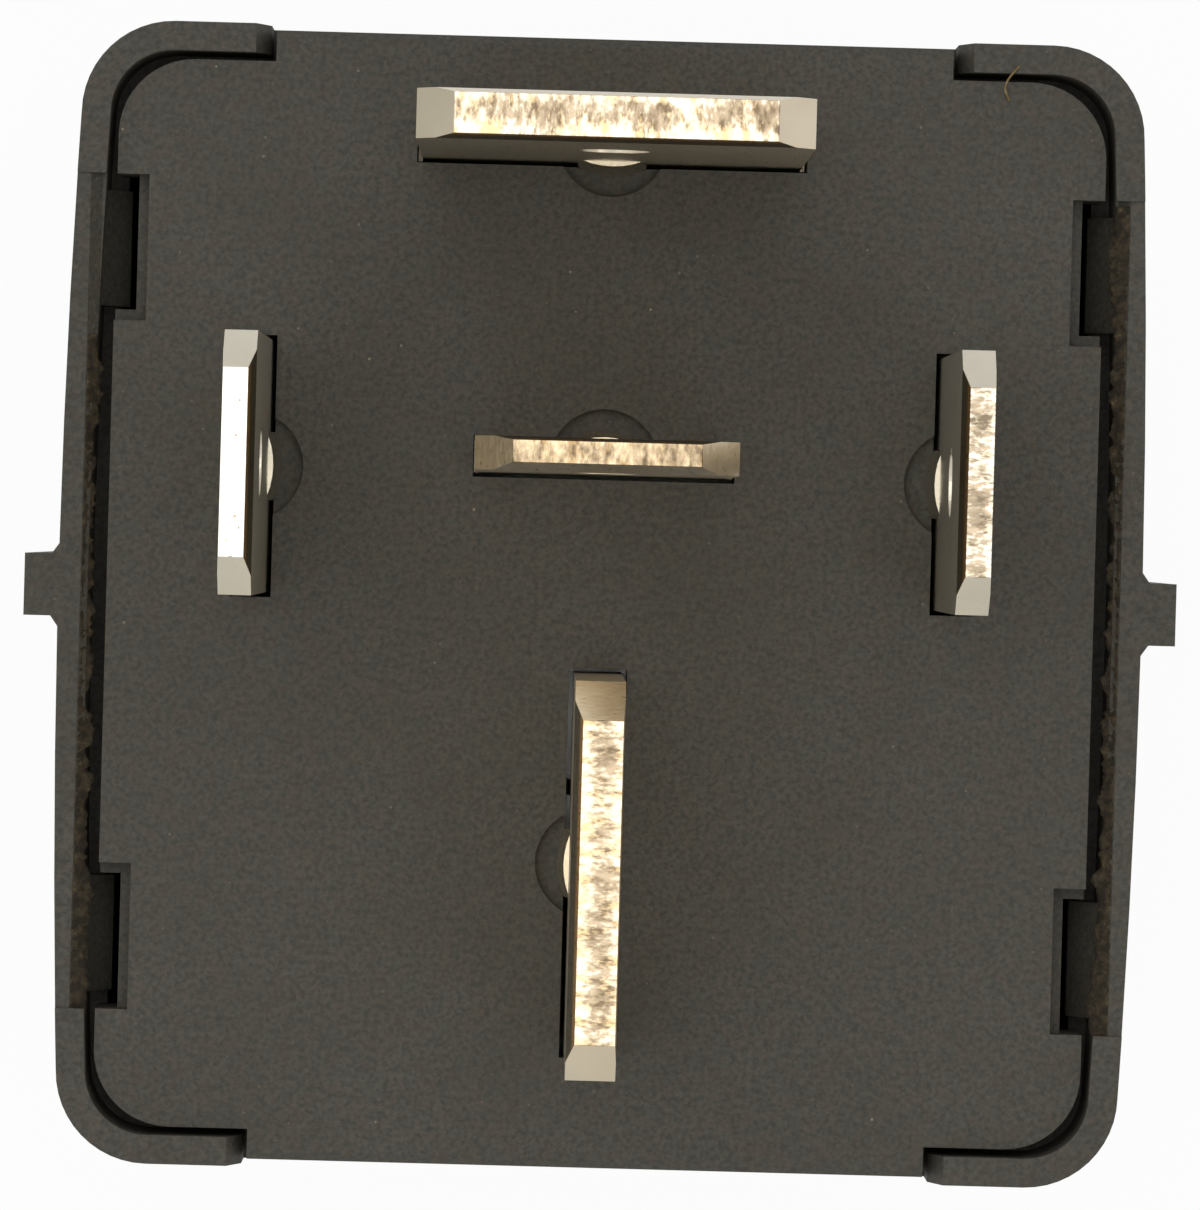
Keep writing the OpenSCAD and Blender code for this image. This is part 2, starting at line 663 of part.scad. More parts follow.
wide_half = yoke_w / 2;
neck_half = yoke_w / 2 - ear_w - ear_in;
plate_end = core_y + pole_d / 2 + 0.6;
pin_x = wide_half - 1.2;
pin_y = core_y - 0.7;
pin_d = 1.6;

module at_pins() {
    for (x = [-1, 1]) translate([x * pin_x, pin_y, 0]) children();
}

module armature() color(steel) released() difference() {
    neck_y = yoke_y + yoke_t + ear_in;
    translate([0, 0, z_plate]) linear_extrude(armature_t) {
        polygon([[-wide_half, neck_y], [wide_half, neck_y], [wide_half, plate_end - 1.2],
                 [wide_half - 1.2, plate_end], [1.2 - wide_half, plate_end], [-wide_half, plate_end - 1.2]]);
        translate([-neck_half, yoke_y - 0.35]) square([2 * neck_half, neck_y - yoke_y + 1]);
        translate([-1.5, hook_y - 0.8]) square([3, yoke_y - hook_y + 1]);
    }
    translate([-wide_half, pivot_y, pivot_z]) rotate([0, 90, 0]) cylinder(h = yoke_w, r = knife_r + 0.03);
    translate([0, hook_y, z_plate]) cylinder(h = 4 * armature_t, d = hook_hole, center = true);
    at_pins() translate([0, 0, z_plate - over])
        cylinder(h = armature_t + 2 * over, r = pin_d / 2 + rivet_gap);
}

module contact_spring() color(bronze) released() difference() {
    half = 3.1;
    y_end = contact_y + 2.3;
    translate([0, 0, z_spring]) linear_extrude(spring_t) polygon([
        [-wide_half + 0.3, pin_y - 2.2], [wide_half - 0.3, pin_y - 2.2], [wide_half - 0.3, pin_y + 2.2],
        [half, plate_end - 0.6], [half, y_end - 1], [half - 1, y_end], [1 - half, y_end], [-half, y_end - 1],
        [-half, plate_end - 0.6], [-wide_half + 0.3, pin_y + 2.2]]);
    translate([0, contact_y, z_spring - over])
        cylinder(h = spring_t + 2 * over, r = contact_d / 4 + rivet_gap);
    at_pins() translate([0, 0, z_spring - over])
        cylinder(h = spring_t + 2 * over, r = pin_d / 2 + rivet_gap);
}

module armature_rivets() color(steel) released() at_pins() {
    translate([0, 0, z_spring - 0.45]) cylinder(h = 0.45, r1 = 0.9, r2 = 1.25);
    translate([0, 0, z_spring - 0.1]) cylinder(h = spring_t + armature_t + 0.1 - 0.02, d = pin_d);
}

// ---------- return spring and braid ----------

// Tension spring behind the yoke, hooked into the armature's tail and the yoke's lug
function spring_path() = let (
    low = released_point([0, hook_y, z_plate])[2] - wire_r - 0.06,
    high = lug_z + 0.8 + wire_r + 0.06,
    coil_r = 0.72,
    z1 = low + armature_t + 1.5, z2 = lug_z - 0.9,
    turns = floor((z2 - z1) / 0.5),
    seg = 10)
    concat([[0, hook_y + 0.75, low], [0, hook_y + 0.25, low], [0, hook_y + 0.06, low + 0.06],
            [0, hook_y, low + 0.25], [0, hook_y, z1 - 0.75], [0.2, hook_y, z1 - 0.4]],
           [for (i = [0:turns * seg]) let (a = 360 * i / seg)
            [coil_r * cos(a), hook_y + coil_r * sin(a), z1 + (z2 - z1) * i / (turns * seg)]],
           [[0.2, hook_y, z2 + 0.35], [0, hook_y, z2 + 0.65], [0, hook_y, high - 0.25],
            [0, hook_y + 0.06, high - 0.06], [0, hook_y + 0.25, high], [0, hook_y + 0.75, high]]);
module return_spring() color(steel) wire(spring_path(), wire_r);

// Flexible braid from the foot of the common terminal to the contact spring
braid_end = foot_len - yoke_w / 2 - seat_gap;
braid_y = (plate_end + contact_y - contact_d / 2) / 2;
function braid_path() = let (
    r = braid_d / 2,
    foot = [-foot_len, foot_y, z_yoke - r],
    top = released_point([0, braid_y, z_plate + r + seat_gap]),
    side_x = -coil_x - 1)
    [foot + [braid_end / 2, 0, 0], foot, foot + [-0.75, 0.05, -0.25], [side_x, foot_y + 0.3, z_yoke - 3],
     [side_x - 0.1, foot_y + 1.4, z_yoke_in - 5], [side_x, foot_y + 3.2, z_former + 3.4],
     [side_x + 0.3, foot_y + 6.3, z_former + 0.2], [side_x + 1.5, foot_y + 9.4, top[2] + 0.7],
     [-wide_half + 0.4, top[1] - 0.5, top[2] + 0.45], [-4, top[1], top[2] + 0.12], [-2, top[1], top[2]]];

module braid() color(copper) {
    wire(curve(braid_path(), 4), braid_d / 2, 10);
    r = braid_d / 2;
    block([-foot_len, -foot_len + braid_end], [foot_y - 1.1, foot_y + 1.1],
          [z_yoke - 1.8 * r, z_yoke]);
    released() translate([-2.6, braid_y - 1, z_plate + seat_gap]) cube([2.1, 2, 1.5 * r]);
}

cover();
base();
terminal_87();
terminal_87a();
terminal_30();
terminal_85();
terminal_86();
yoke();
core();
coil_former();
coil_winding();
coil_lead_start();
coil_lead_end();
foot_rivets();
work_contact();
rest_contact();
armature();
contact_spring();
moving_contact();
armature_rivets();
return_spring();
braid();
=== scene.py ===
import json
import math

import bmesh
import bpy
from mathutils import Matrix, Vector, noise


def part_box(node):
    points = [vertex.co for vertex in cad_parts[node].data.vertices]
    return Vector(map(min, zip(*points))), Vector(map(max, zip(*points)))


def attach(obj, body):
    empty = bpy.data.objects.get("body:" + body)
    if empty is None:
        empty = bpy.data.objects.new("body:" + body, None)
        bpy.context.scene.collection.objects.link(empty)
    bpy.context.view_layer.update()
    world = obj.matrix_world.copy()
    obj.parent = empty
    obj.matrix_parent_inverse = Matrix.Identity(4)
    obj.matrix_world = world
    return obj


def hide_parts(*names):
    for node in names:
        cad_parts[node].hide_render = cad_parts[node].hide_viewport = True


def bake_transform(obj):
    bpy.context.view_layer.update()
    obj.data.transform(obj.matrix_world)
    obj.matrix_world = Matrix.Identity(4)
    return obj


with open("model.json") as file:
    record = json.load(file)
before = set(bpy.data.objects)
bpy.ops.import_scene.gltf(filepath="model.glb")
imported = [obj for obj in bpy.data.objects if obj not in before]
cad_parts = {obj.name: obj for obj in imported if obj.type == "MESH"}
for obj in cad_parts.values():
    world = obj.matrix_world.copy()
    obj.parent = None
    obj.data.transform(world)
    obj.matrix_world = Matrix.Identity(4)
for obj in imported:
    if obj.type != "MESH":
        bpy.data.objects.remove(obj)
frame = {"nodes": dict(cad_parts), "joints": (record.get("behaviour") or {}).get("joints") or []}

MM = 0.001
WHOLE_TURN = 2 * math.pi
nodes = frame["nodes"]
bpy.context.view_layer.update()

# ---------- sizes, in millimetres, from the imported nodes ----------


def box_mm(node):
    low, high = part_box(node)
    return low / MM, high / MM


COVER_HIGH = box_mm("cover")[1]
WINDING_LOW, WINDING_HIGH = box_mm("coil_winding")
YOKE_HIGH = box_mm("yoke")[1]
FOOT_LOW, FOOT_HIGH = box_mm("foot_rivets")
TIP_Z = box_mm("terminal_87")[1].z
RIM_Z = COVER_HIGH.z

hinge = next(j for j in frame["joints"] if j["name"] == "armature_hinge")


# ---------- materials ----------


class Shader:
    """A node tree round one Principled shader. Texture scales are per metre, in object coordinates."""

    def __init__(self, name, **sockets):
        self.material = bpy.data.materials.new(name)
        self.material.use_nodes = True
        self.tree = self.material.node_tree
        self.principled = self.tree.nodes["Principled BSDF"]
        for key, value in sockets.items():
            self.principled.inputs[key.replace("_", " ")].default_value = value
        self.place = self.add("ShaderNodeTexCoord").outputs["Object"]

    def add(self, kind, **options):
        node = self.tree.nodes.new(kind)
        for key, value in options.items():
            setattr(node, key, value)
        return node

    def join(self, source, target):
        if hasattr(source, "is_output"):
            self.tree.links.new(source, target)
        else:
            target.default_value = source

    def noise(self, scale, detail=2.0, roughness=0.5, stretch=(1, 1, 1), shift=(0, 0, 0)):
        mapping = self.add("ShaderNodeMapping")
        mapping.inputs["Scale"].default_value = stretch
        mapping.inputs["Location"].default_value = [s * MM for s in shift]
        self.join(self.place, mapping.inputs["Vector"])
        texture = self.add("ShaderNodeTexNoise")
        texture.inputs["Scale"].default_value = scale
        texture.inputs["Detail"].default_value = detail
        texture.inputs["Roughness"].default_value = roughness
        self.join(mapping.outputs["Vector"], texture.inputs["Vector"])
        return texture.outputs["Fac"]

    def span(self, value, low, high, to_low=0.0, to_high=1.0):
        """Maps a value from one range to another, held at the ends."""
        node = self.add("ShaderNodeMapRange", clamp=True)
        self.join(value, node.inputs["Value"])
        for key, number in (("From Min", low), ("From Max", high), ("To Min", to_low), ("To Max", to_high)):
            node.inputs[key].default_value = number
        return node.outputs["Result"]

    def math(self, operation, a, b=0.0):
        node = self.add("ShaderNodeMath", operation=operation)
        self.join(a, node.inputs[0])
        self.join(b, node.inputs[1])
        return node.outputs[0]

    def mix(self, factor, a, b):
        node = self.add("ShaderNodeMix", data_type="RGBA")
        self.join(factor, node.inputs[0])
        self.join(a, node.inputs[6])
        self.join(b, node.inputs[7])
        return node.outputs[2]

    def axis(self, name):
        node = self.add("ShaderNodeSeparateXYZ")
        self.join(self.place, node.inputs[0])
        return node.outputs[name]

    def facing(self, name):
        node = self.add("ShaderNodeSeparateXYZ")
        self.join(self.add("ShaderNodeNewGeometry").outputs["Normal"], node.inputs[0])
        return node.outputs[name]

    def specks(self, cell, size, share, shift=(0, 0, 0)):
        """Small round specks, in a share of cells of this size."""
        mapping = self.add("ShaderNodeMapping")
        mapping.inputs["Location"].default_value = [s * MM for s in shift]
        self.join(self.place, mapping.inputs["Vector"])
        cells = self.add("ShaderNodeTexVoronoi")
        cells.inputs["Scale"].default_value = 1 / (cell * MM)
        self.join(mapping.outputs["Vector"], cells.inputs["Vector"])
        chance = self.add("ShaderNodeSeparateColor")
        self.join(cells.outputs["Color"], chance.inputs[0])
        near = self.span(cells.outputs["Distance"], size / cell, 0.6 * size / cell)
        return self.math("MULTIPLY", near, self.math("GREATER_THAN", chance.outputs[0], 1 - share))

    def colour(self, source):
        self.join(source, self.principled.inputs["Base Color"])

    def rough(self, source):
        self.join(source, self.principled.inputs["Roughness"])

    def bump(self, height, depth, strength=1.0):
        node = self.add("ShaderNodeBump")
        node.inputs["Strength"].default_value = strength
        node.inputs["Distance"].default_value = depth * MM
        self.join(height, node.inputs["Height"])
        self.join(node.outputs["Normal"], self.principled.inputs["Normal"])


def rgb(red, green, blue):
    """A colour as a screen shows it, from 0 to 255, made linear."""
    def linear(v):
        v /= 255
        return v / 12.92 if v <= 0.04045 else ((v + 0.055) / 1.055) ** 2.4
    return (linear(red), linear(green), linear(blue), 1.0)


def plastic(name, shade, dust=0.8, shift=(0, 0, 0)):
    """Matt moulded plastic with a fine spark-eroded grain and a little dust."""
    s = Shader(name, Roughness=0.6, Specular_IOR_Level=0.25)

    def tone(red, green, blue):
        return rgb(shade[0] * red, shade[1] * green, shade[2] * blue)

    grain = s.noise(7600, 3, 0.65, shift=shift)
    tint = s.noise(3100, 2, 0.5, shift=(shift[0] + 9, shift[1], shift[2]))
    cloud = s.noise(260, 3, 0.55, shift=shift)
    body = s.mix(s.span(grain, 0.36, 0.64), tone(0.81, 0.81, 0.81), tone(1.19, 1.18, 1.17))
    body = s.mix(s.span(tint, 0.5, 0.68, 0, 0.35), body, tone(1.16, 1.04, 0.94))
    body = s.mix(s.span(tint, 0.48, 0.34, 0, 0.3), body, tone(0.94, 1.03, 1.03))
    body = s.mix(s.span(cloud, 0.35, 0.7, 0, 0.3), body, tone(1.1, 1.09, 1.08))
    fine = s.math("MULTIPLY", s.specks(0.42, 0.036, 0.6, shift), s.span(cloud, 0.4, 0.62, 0.25, 1))
    body = s.mix(s.math("MULTIPLY", fine, 0.4), body, rgb(132, 114, 98))
    pale = s.math("MULTIPLY", s.specks(0.9, 0.042, dust, shift), s.span(tint, 0.36, 0.6, 0.12, 0.75))
    body = s.mix(pale, body, rgb(150, 140, 120))
    s.colour(body)
    s.rough(s.span(cloud, 0.3, 0.7, 0.54, 0.68))
    s.bump(grain, 0.03, 0.6)
    return s.material


def torn_plastic(name, low, high, painted_lump_highlight):
    """Brown, ragged flash that the tool left along the cover's rim. Its colour lightens towards the lumps'
    tops, and the highest tops carry a painted highlight.
    """
    s = Shader(name, Roughness=0.8, Specular_IOR_Level=0.25)
    lumps = s.noise(4300, 4, 0.65)
    body = s.mix(s.span(lumps, 0.42, 0.62), rgb(*low), rgb(*high))
    s.colour(s.mix(s.span(lumps, 0.64, 0.74), body, rgb(*painted_lump_highlight)))
    s.bump(lumps, 0.05, 0.9)
    return s.material


def tinned(name, along, boss, middle, ends, dark, painted_highlight_low, painted_highlight_high, lean, seed):
    """Tinned brass blade. Its sheared tip is fresh metal under a painted highlight, with marks across the
    sheet that lie near the middle of its thickness. along is the blade's long side, boss the side its boss
    points to, and the two end colours a painted shade at each end of the sheet, for how light falls along it.
    The tip runs from the lower to the higher painted highlight colour between its marks. dark is the share of
    the tip under marks, and lean moves them. The lead-in faces near the tip are painted light and shade by the
    way they face."""
    s = Shader(name, Metallic=1.0, Roughness=0.34)
    long, thick = ("X", "Y") if along == "x" else ("Y", "X")
    shift = (seed * 3.1, seed * 1.7, seed)
    across = (1, 0.45, 1) if along == "x" else (0.45, 1, 1)
    fine = s.noise(9800, 3, 0.6, across, shift)
    patch = s.noise(1300, 2, 0.5, across, (seed, 4.0, seed * 2.3))
    tone = s.noise(4200, 3, 0.6, across, (seed * 0.7, seed, 6.0))
    low, high = box_mm("terminal_" + name.split("_")[1])
    place = s.span(s.axis(long), getattr(low, along) * MM, getattr(high, along) * MM)
    # Painted shade: the sheet's colour runs between two shades set per blade, one at each end, for how light
    # falls along the blade.
    sheet = s.mix(place, rgb(*ends[0]), rgb(*ends[1]))
    dull = s.span(s.noise(900, 3, 0.5, (1, 1, 0.12), shift), 0.3, 0.7, 0, 0.12)
    sheet = s.mix(dull, sheet, rgb(120, 110, 92))
    side = s.math("SUBTRACT", s.axis(thick), (middle + lean) * MM)
    off = s.span(s.math("ABSOLUTE", side), 0.14 * MM, 0.46 * MM, 0, 0.14)
    tip = s.math("GREATER_THAN", s.axis("Z"), (TIP_Z - 0.02) * MM)
    if name == "blade_86":
        spots = s.math("MULTIPLY", s.specks(0.3, 0.06, 0.8, shift), s.span(off, 0.0, 0.03, 1, 0))
        streak = s.math("MULTIPLY", spots, s.span(patch, 0.3, 0.45))
    else:
        marks = s.math("ADD", s.math("MULTIPLY", fine, 0.6), s.math("MULTIPLY", patch, 0.4))
        marks = s.math("ADD", marks, off)
        streak = s.span(marks, 0.33 + 0.3 * dark, 0.47 + 0.3 * dark, 1, 0)
    # The tip's colour is partly fresh sheared metal and partly a painted highlight, its two colours set per
    # blade for how light falls on each tip.
    lit = s.mix(s.span(tone, 0.38, 0.62), rgb(*painted_highlight_low), rgb(*painted_highlight_high))
    mark = s.mix(s.span(tone, 0.36, 0.6), rgb(92, 80, 66), rgb(172, 152, 124))
    face = s.mix(s.math("MULTIPLY", streak, 0.9), lit, mark)
    # Painted light and shade on the lead-in faces near the tip, chosen by the way each face points: on the
    # face towards the boss a painted shade that rises from brown to an amber painted reflection towards the
    # tip, and on the other face a single painted light tone.
    strip = s.math("MULTIPLY", s.math("GREATER_THAN", s.axis("Z"), (TIP_Z - 0.62) * MM),
                   s.span(s.facing("Z"), 0.4, 0.5, 1, 0))
    painted_lead_in_shade = s.mix(s.span(s.axis("Z"), (TIP_Z - 0.26) * MM, (TIP_Z - 0.14) * MM),
                 rgb(112, 102, 82), rgb(196, 152, 92))
    on_boss = s.span(s.math("MULTIPLY", s.facing(thick), boss), -0.2, 0.2)
    painted_far_strip_light = rgb(*painted_highlight_low) if along == "y" else rgb(204, 194, 172)
    painted_strip_light = s.mix(on_boss, painted_far_strip_light, painted_lead_in_shade)
    s.colour(s.mix(tip, s.mix(strip, sheet, painted_strip_light), face))
    s.rough(s.math("ADD", s.span(fine, 0.3, 0.7, 0.26, 0.4), s.math("MULTIPLY", tip, 0.1)))
    s.bump(fine, 0.012, 0.6)
    return s.material


def metal(name, low, high, scale=1800, stretch=(1, 1, 1), rough=(0.28, 0.45), depth=0.006):
    """Sheet or turned metal with drawn marks."""
    s = Shader(name, Metallic=1.0)
    marks = s.noise(scale, 4, 0.6, stretch)
    stain = s.noise(380, 3, 0.55)
    body = s.mix(s.span(marks, 0.3, 0.7), rgb(*low), rgb(*high))
    s.colour(s.mix(s.span(stain, 0.5, 0.75, 0, 0.3), body, rgb(*(v * 0.8 for v in low))))
    s.rough(s.span(marks, 0.3, 0.7, *rough))
    s.bump(marks, depth, 0.5)
    return s.material


def nylon(name):
    """Off-white moulded nylon, slightly clear."""
    s = Shader(name, Roughness=0.42, Subsurface_Weight=0.12, Subsurface_Scale=0.0006)
    cloud = s.noise(420, 3, 0.5)
    grain = s.noise(5200, 2)
    s.colour(s.mix(s.span(cloud, 0.3, 0.7), rgb(214, 209, 192), rgb(229, 225, 211)))
    s.rough(s.span(grain, 0.3, 0.7, 0.38, 0.5))
    s.bump(grain, 0.01, 0.4)
    return s.material


def enamelled(name):
    """Copper wire under amber enamel."""
    s = Shader(name, Metallic=0.85, Roughness=0.27, Coat_Weight=0.6, Coat_Roughness=0.15)
    turns = s.noise(1400, 3, 0.55, (0.25, 0.25, 2.4))
    s.colour(s.mix(s.span(turns, 0.35, 0.65), rgb(142, 66, 30), rgb(190, 98, 50)))
    s.rough(s.span(turns, 0.3, 0.7, 0.2, 0.34))
    return s.material


def strands(name):
    """Bare copper strands, a little dulled."""
    s = Shader(name, Metallic=1.0)
    tint = s.noise(2300, 3, 0.6)
    s.colour(s.mix(s.span(tint, 0.35, 0.65), rgb(156, 88, 52), rgb(216, 138, 92)))
    s.rough(s.span(tint, 0.3, 0.7, 0.26, 0.42))
    return s.material


HOUSING = (68, 66, 60)
looks = {
    "cover": plastic("housing_cover", HOUSING, 0.5),
    "base": plastic("housing_base", HOUSING, 0.85, (3, 5, 2)),
    # For each blade the two end shades and the two tip colours are painted shade and painted highlight, set
    # blade by blade for how light falls on it.
    "terminal_87": tinned("blade_87", "x", -1, 11.63, ((176, 167, 146), (214, 201, 178)), 0.56,
                          (222, 194, 150), (250, 240, 220), 0.1, 1),
    "terminal_87a": tinned("blade_87a", "x", 1, 3.63, ((206, 190, 162), (214, 198, 172)), 0.5,
                           (176, 148, 108), (228, 208, 172), 0, 2),
    "terminal_30": tinned("blade_30", "y", -1, 0, ((192, 180, 156), (226, 210, 182)), 0.56,
                          (220, 192, 148), (250, 238, 214), 0.14, 3),
    "terminal_85": tinned("blade_85", "y", -1, 8.75, ((194, 187, 168), (206, 199, 184)), 0.5,
                          (238, 222, 190), (252, 248, 238), 0.03, 4),
    "terminal_86": tinned("blade_86", "y", 1, -8.75, ((196, 189, 170), (206, 200, 184)), 0.1,
                          (246, 240, 224), (250, 248, 242), -0.05, 5),
    "yoke": metal("plated_yoke", (178, 180, 176), (204, 205, 200), 1500, (1, 1, 0.3)),
    "core": metal("turned_core", (172, 173, 172), (200, 200, 198), 2200, (0.3, 0.3, 1)),
    "armature": metal("plated_armature", (176, 178, 175), (203, 204, 200), 1500, (1, 0.3, 1)),
    "coil_former": nylon("former_nylon"),
    "foot_rivets": metal("rivets_foot", (168, 168, 164), (196, 196, 192)),
    "armature_rivets": metal("rivets_armature", (168, 168, 164), (196, 196, 192)),
    "contact_spring": metal("spring_bronze", (176, 132, 84), (206, 162, 108), 2600, (1, 0.2, 1), (0.22, 0.36)),
    "work_contact": metal("silver_work", (214, 214, 210), (236, 236, 232), 2400, rough=(0.24, 0.4)),
    "rest_contact": metal("silver_rest", (214, 214, 210), (236, 236, 232), 2400, rough=(0.24, 0.4)),
    "moving_contact": metal("silver_moving", (214, 214, 210), (236, 236, 232), 2400, rough=(0.24, 0.4)),
}
copper_wire = enamelled("copper_enamel")
bare_copper = strands("copper_strands")
spring_wire = metal("spring_wire", (150, 150, 148), (192, 192, 188), 3000)
for hidden in ("coil_winding", "coil_lead_start", "coil_lead_end"):
    looks[hidden] = copper_wire
looks["braid"] = bare_copper
looks["return_spring"] = spring_wire

EDGE_MM = {"cover": 0.1, "base": 0.05, "coil_former": 0.08, "yoke": 0.08, "armature": 0.06,
           "contact_spring": 0.03, "core": 0.05, "terminal_87": 0.1, "terminal_87a": 0.07,
           "terminal_30": 0.1, "terminal_85": 0.08, "terminal_86": 0.08}
for name, obj in nodes.items():
    slots = obj.material_slots
    if not slots:
        obj.data.materials.append(looks[name])
    for one in slots:
        one.material = looks[name]
    if name in EDGE_MM:
        weld = obj.modifiers.new("weld", "WELD")
        weld.merge_threshold = 0.002 * MM
        flat = obj.modifiers.new("flat", "DECIMATE")
        flat.decimate_type = "DISSOLVE"
        flat.angle_limit = math.radians(0.05)
        soften = obj.modifiers.new("soften", "BEVEL")
        soften.width = EDGE_MM[name] * MM
        soften.segments = 2
        soften.limit_method = "ANGLE"
        soften.angle_limit = math.radians(34)
        soften.harden_normals = True

# ---------- pieces built here ----------


def piece(name, points, faces, material, smooth=True):
    """A closed mesh from points in millimetres."""
    mesh = bpy.data.meshes.new(name)
    mesh.from_pydata([Vector(p) * MM for p in points], [], faces)
    shape = bmesh.new()
    shape.from_mesh(mesh)
    bmesh.ops.remove_doubles(shape, verts=shape.verts, dist=0.0005 * MM)
    bmesh.ops.recalc_face_normals(shape, faces=shape.faces)
    for face in shape.faces:
        face.smooth = smooth
    shape.to_mesh(mesh)
    shape.free()
    obj = bpy.data.objects.new(name, mesh)
    bpy.context.scene.collection.objects.link(obj)
    mesh.materials.append(material)
    return obj


def frames(path):
    """Tangent and two square directions at each point, carried along without twist."""
    out = []
    side = Vector((0.31, 0.17, 0.93))
    for i, point in enumerate(path):
        ahead = path[min(i + 1, len(path) - 1)] - path[max(i - 1, 0)]
        ahead.normalize()
        side = (side - side.dot(ahead) * ahead).normalized()
        out.append((point, side.copy(), ahead.cross(side)))
    return out


def tube(path, radius, sides, points, faces):
    """Adds a closed tube along a path to a list of points and faces."""
    first = len(points)
    rows = frames(path)
    for centre, u, v in rows:
        for k in range(sides):
            a = WHOLE_TURN * k / sides
            points.append(centre + radius * (math.cos(a) * u + math.sin(a) * v))
    for i in range(len(rows) - 1):
        for k in range(sides):
            a, b = first + i * sides + k, first + i * sides + (k + 1) % sides
            faces.append((a, b, b + sides, a + sides))
    faces.append(tuple(first + k for k in range(sides))[::-1])
    faces.append(tuple(first + (len(rows) - 1) * sides + k for k in range(sides)))


def curve_through(points, steps):
    """Smooth curve through points, as in the part's source."""
    p = [Vector(q) for q in points]
    q = [2 * p[0] - p[1]] + p + [2 * p[-1] - p[-2]]
    out = []
    for i in range(len(p) - 1):
        a, b, c, d = q[i:i + 4]
        for j in range(steps):
            t = j / steps
            out.append(0.5 * (2 * b + (c - a) * t + (2 * a - 5 * b + 4 * c - d) * t * t
                              + (3 * b - a - 3 * c + d) * t ** 3))
    return out + [p[-1]]


PIVOT = Vector(hinge["pos_m"]) / MM
OPEN = math.radians(hinge["range_deg"][1])


def released(x, y, z):
    """A point of the armature, drawn pulled in, at its rest place."""
    dy, dz = y - PIVOT.y, z - PIVOT.z
    return Vector((x, PIVOT.y + dy * math.cos(OPEN) + dz * math.sin(OPEN),
                   PIVOT.z - dy * math.sin(OPEN) + dz * math.cos(OPEN)))


# winding: turns of wire side by side, wound as one helix
WIRE_R = 0.15
CORE_Y = (WINDING_LOW.y + WINDING_HIGH.y) / 2


def winding():
    outer = (WINDING_HIGH.x - WINDING_LOW.x) / 2
    inner = 3.81
    low, high = WINDING_LOW.z + 0.02, WINDING_HIGH.z - 0.02
    pitch = 2.04 * WIRE_R
    rows_per_turn, columns = 6, 96
    turns = math.ceil((high - low) / pitch) + 1
    points, faces = [], []
    rows = turns * rows_per_turn
    for i in range(rows + 1):
        for k in range(columns + 1):
            turn = i / rows_per_turn
            z = low + (turn - 1 + k / columns) * pitch
            f = 2 * (turn - math.floor(turn)) - 1
            lay = 0.035 * noise.noise(Vector((math.cos(WHOLE_TURN * k / columns) * 2,
                                              math.sin(WHOLE_TURN * k / columns) * 2, turn * 0.9)))
            r = outer - WIRE_R * 0.9 * (1 - math.sqrt(max(0, 1 - f * f))) - 0.035 + min(lay, 0.03)
            if z <= low or z >= high:
                z, r = min(max(z, low), high), outer - WIRE_R
            a = WHOLE_TURN * k / columns
            points.append((r * math.cos(a), CORE_Y + r * math.sin(a), z))
    for i in range(rows):
        for k in range(columns):
            a = i * (columns + 1) + k
            faces.append((a, a + 1, a + columns + 2, a + columns + 1))
    ring = len(points)
    for z, r in ((low, outer - WIRE_R), (low, inner), (high, inner), (high, outer - WIRE_R)):
        for k in range(columns):
            a = WHOLE_TURN * k / columns
            points.append((r * math.cos(a), CORE_Y + r * math.sin(a), z))
    for step in range(3):
        for k in range(columns):
            a, b = ring + step * columns + k, ring + step * columns + (k + 1) % columns
            faces.append((a, b, b + columns, a + columns))
    obj = piece("winding_turns", points, faces, copper_wire)
    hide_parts("coil_winding")
    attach(obj, "base_assembly")


def lead(side, name, node):
    """Coil lead, from the winding to its post and wound three times round it."""
    low, high = box_mm(node)
    coil_x, coil_y = 8.75, 3.23
    z = high.z - WIRE_R
    r, wrap = (WINDING_HIGH.x - WINDING_LOW.x) / 2 + WIRE_R, 0.871
    a = math.radians(48)
    start = Vector((r * math.cos(a), CORE_Y + r * math.sin(a), z))
    path = [start, start + Vector((0.35, 0.3, 0))]
    steps = 24 * 3
    for i in range(steps + 1):
        b = math.pi - WHOLE_TURN * i / 24
        path.append(Vector((coil_x + wrap * math.cos(b), coil_y + wrap * math.sin(b), z - 0.36 * i / 24)))
    path = [Vector((side * p.x, p.y, p.z)) for p in path]
    points, faces = [], []
    tube(path, WIRE_R, 10, points, faces)
    obj = piece(name, points, faces, copper_wire)
    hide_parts(node)
    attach(obj, "base_assembly")


HOOK_Y, LUG_Z, ARMATURE_T, PLATE_Z = -12.1, 15.095, 1.3, 5.04


